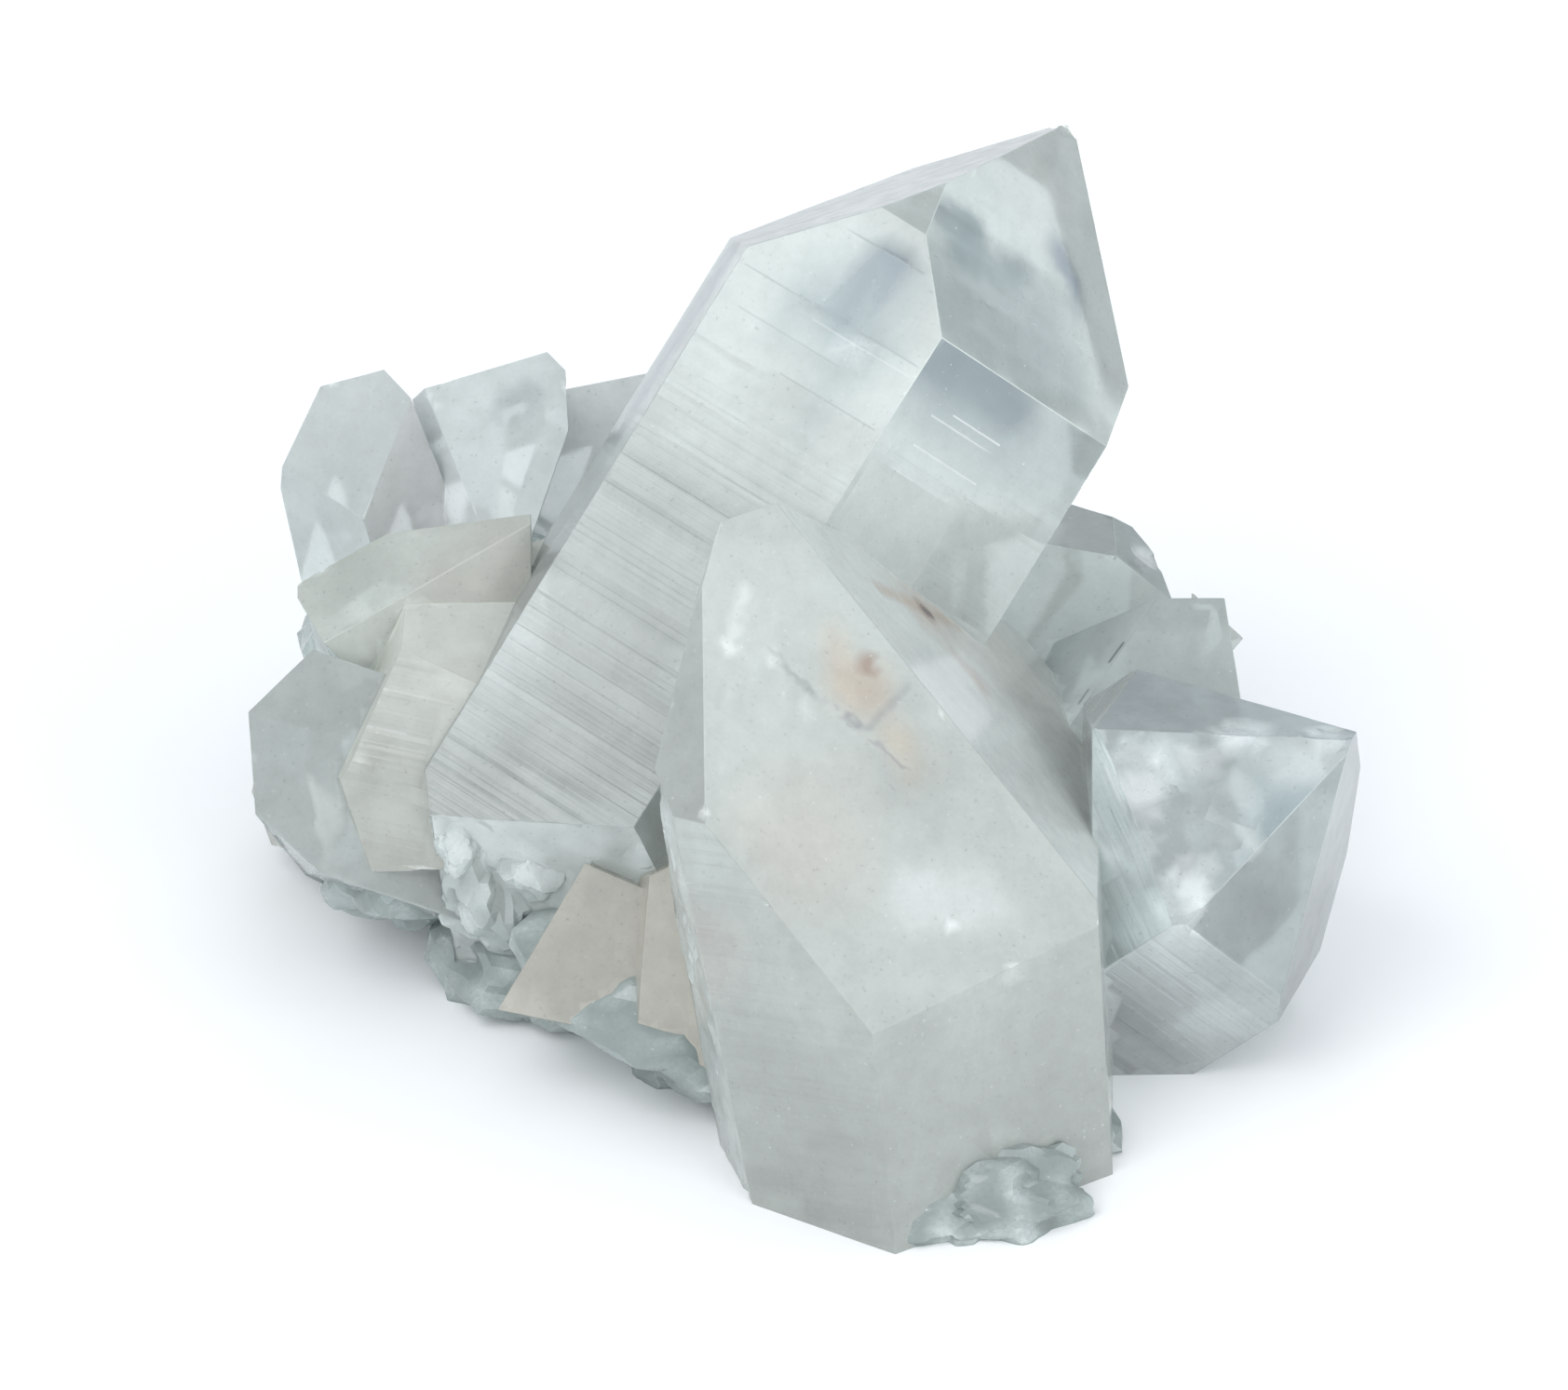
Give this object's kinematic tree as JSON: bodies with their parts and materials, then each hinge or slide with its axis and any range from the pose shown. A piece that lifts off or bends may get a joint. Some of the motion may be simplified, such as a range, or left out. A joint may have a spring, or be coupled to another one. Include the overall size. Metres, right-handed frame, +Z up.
{
  "type": "quartz crystal cluster",
  "caption": "Cluster of milky quartz points grown together, with a tall leaning crystal behind a broad upright one, cut flat underneath.",
  "frame": {"origin": "middle of the cluster's outline seen from above, on the flat cut that it rests on", "axes": "+Z up; -Y is the broad side with the upright crystal in front; +X is to the right in that view"},
  "size_m": [0.0982, 0.0958, 0.0683],
  "materials": {
    "quartz": "milky, slightly green-grey quartz with glassy faces, fine growth lines across the side faces and a rough, broken foot"
  },
  "bodies": {
    "root": {"quartz_cluster": "quartz"}
  },
  "joints": []
}
